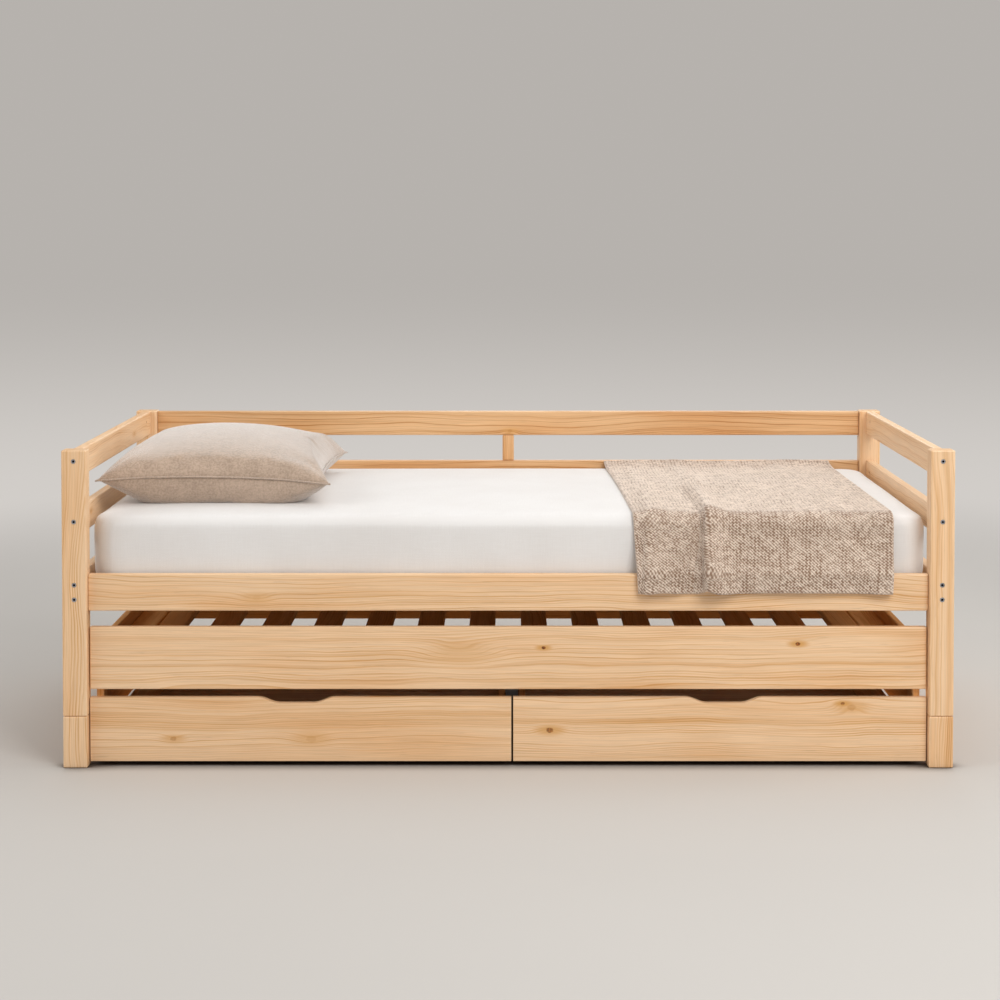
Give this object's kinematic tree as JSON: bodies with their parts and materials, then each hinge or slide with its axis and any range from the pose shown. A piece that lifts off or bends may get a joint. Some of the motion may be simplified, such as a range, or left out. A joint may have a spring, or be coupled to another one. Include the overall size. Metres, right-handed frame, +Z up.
{
  "type": "storage daybed",
  "caption": "Solid pine daybed with guard rails on three sides, a slatted bed on castors under it and storage drawers below, dressed with mattress, pillow and throw.",
  "frame": {"origin": "on the floor, at the middle of the frame", "axes": "+X along the bed to the right as seen from the open front, +Y to the back rails, +Z up"},
  "size_m": [2.126, 0.985, 0.7693],
  "materials": {
    "pine": "clear matt lacquer on pine",
    "pine_inner": "sanded pine",
    "plywood": "thin plywood",
    "zinc_steel": "zinc plated",
    "wheel_plastic": "moulded",
    "cotton_sheet": "woven cotton",
    "linen": "coarse linen weave",
    "knit": "chunky waffle knit"
  },
  "bodies": {
    "bed_frame": {"post_front_left": "pine", "leg_extension_front_left": "pine", "post_back_left": "pine", "leg_extension_back_left": "pine", "end_rail_upper_left": "pine", "end_rail_middle_left": "pine", "end_rail_lower_left": "pine", "post_front_right": "pine", "leg_extension_front_right": "pine", "post_back_right": "pine", "leg_extension_back_right": "pine", "end_rail_upper_right": "pine", "end_rail_middle_right": "pine", "end_rail_lower_right": "pine", "front_bed_rail": "pine", "back_bed_rail": "pine", "back_guard_rail_lower": "pine", "back_guard_rail_upper": "pine", "back_guard_stub": "pine", "bed_slat_base": "pine_inner", "mattress": "cotton_sheet", "pillow": "linen", "throw": "knit"},
    "trundle": {"trundle_front": "pine", "trundle_back": "pine_inner", "trundle_side_left": "pine_inner", "trundle_side_right": "pine_inner", "trundle_leg_front_left": "pine_inner", "trundle_leg_front_right": "pine_inner", "trundle_leg_back_left": "pine_inner", "trundle_leg_back_right": "pine_inner", "trundle_slat_base": "pine", "trundle_axle_pin_front_left": "zinc_steel", "trundle_axle_pin_front_right": "zinc_steel", "trundle_axle_pin_back_left": "zinc_steel", "trundle_axle_pin_back_right": "zinc_steel"},
    "trundle_front_wheels": {"trundle_wheel_front_left": "wheel_plastic", "trundle_wheel_front_right": "wheel_plastic"},
    "trundle_back_wheels": {"trundle_wheel_back_left": "wheel_plastic", "trundle_wheel_back_right": "wheel_plastic"},
    "drawer_left": {"drawer_left_front": "pine", "drawer_left_side_outer": "pine_inner", "drawer_left_side_inner": "pine_inner", "drawer_left_back": "pine_inner", "drawer_left_bottom": "plywood"},
    "drawer_left_front_wheels": {"drawer_left_wheel_front_inner": "wheel_plastic", "drawer_left_wheel_front_outer": "wheel_plastic"},
    "drawer_left_back_wheels": {"drawer_left_wheel_back_inner": "wheel_plastic", "drawer_left_wheel_back_outer": "wheel_plastic"},
    "drawer_right": {"drawer_right_front": "pine", "drawer_right_side_outer": "pine_inner", "drawer_right_side_inner": "pine_inner", "drawer_right_back": "pine_inner", "drawer_right_bottom": "plywood"},
    "drawer_right_front_wheels": {"drawer_right_wheel_front_inner": "wheel_plastic", "drawer_right_wheel_front_outer": "wheel_plastic"},
    "drawer_right_back_wheels": {"drawer_right_wheel_back_inner": "wheel_plastic", "drawer_right_wheel_back_outer": "wheel_plastic"}
  },
  "joints": [
    {"name": "trundle_slide", "type": "slide", "parent": "bed_frame", "child": "trundle", "axis": [0, -1, 0], "range_m": [0, 0.9]},
    {"name": "trundle_front_wheels_spin", "type": "hinge", "parent": "trundle", "child": "trundle_front_wheels", "pos_m": [0, -0.4242, 0.02], "axis": [1, 0, 0], "continuous": true},
    {"name": "trundle_back_wheels_spin", "type": "hinge", "parent": "trundle", "child": "trundle_back_wheels", "pos_m": [0, 0.4142, 0.02], "axis": [1, 0, 0], "continuous": true},
    {"name": "drawer_left_slide", "type": "slide", "parent": "trundle", "child": "drawer_left", "axis": [0, -1, 0], "range_m": [0, 0.65]},
    {"name": "drawer_left_front_wheels_spin", "type": "hinge", "parent": "drawer_left", "child": "drawer_left_front_wheels", "pos_m": [-0.47628, -0.3942, 0.015], "axis": [1, 0, 0], "continuous": true},
    {"name": "drawer_left_back_wheels_spin", "type": "hinge", "parent": "drawer_left", "child": "drawer_left_back_wheels", "pos_m": [-0.47628, 0.2855, 0.015], "axis": [1, 0, 0], "continuous": true},
    {"name": "drawer_right_slide", "type": "slide", "parent": "trundle", "child": "drawer_right", "axis": [0, -1, 0], "range_m": [0, 0.65]},
    {"name": "drawer_right_front_wheels_spin", "type": "hinge", "parent": "drawer_right", "child": "drawer_right_front_wheels", "pos_m": [0.48597, -0.3942, 0.015], "axis": [1, 0, 0], "continuous": true},
    {"name": "drawer_right_back_wheels_spin", "type": "hinge", "parent": "drawer_right", "child": "drawer_right_back_wheels", "pos_m": [0.48597, 0.2855, 0.015], "axis": [1, 0, 0], "continuous": true}
  ],
  "couplings": [
    {"joint": "trundle_front_wheels_spin", "follows": "trundle_slide", "rad_per_m": 50},
    {"joint": "trundle_back_wheels_spin", "follows": "trundle_slide", "rad_per_m": 50},
    {"joint": "drawer_left_front_wheels_spin", "follows": "drawer_left_slide", "rad_per_m": 66.667},
    {"joint": "drawer_left_back_wheels_spin", "follows": "drawer_left_slide", "rad_per_m": 66.667},
    {"joint": "drawer_right_front_wheels_spin", "follows": "drawer_right_slide", "rad_per_m": 66.667},
    {"joint": "drawer_right_back_wheels_spin", "follows": "drawer_right_slide", "rad_per_m": 66.667}
  ]
}
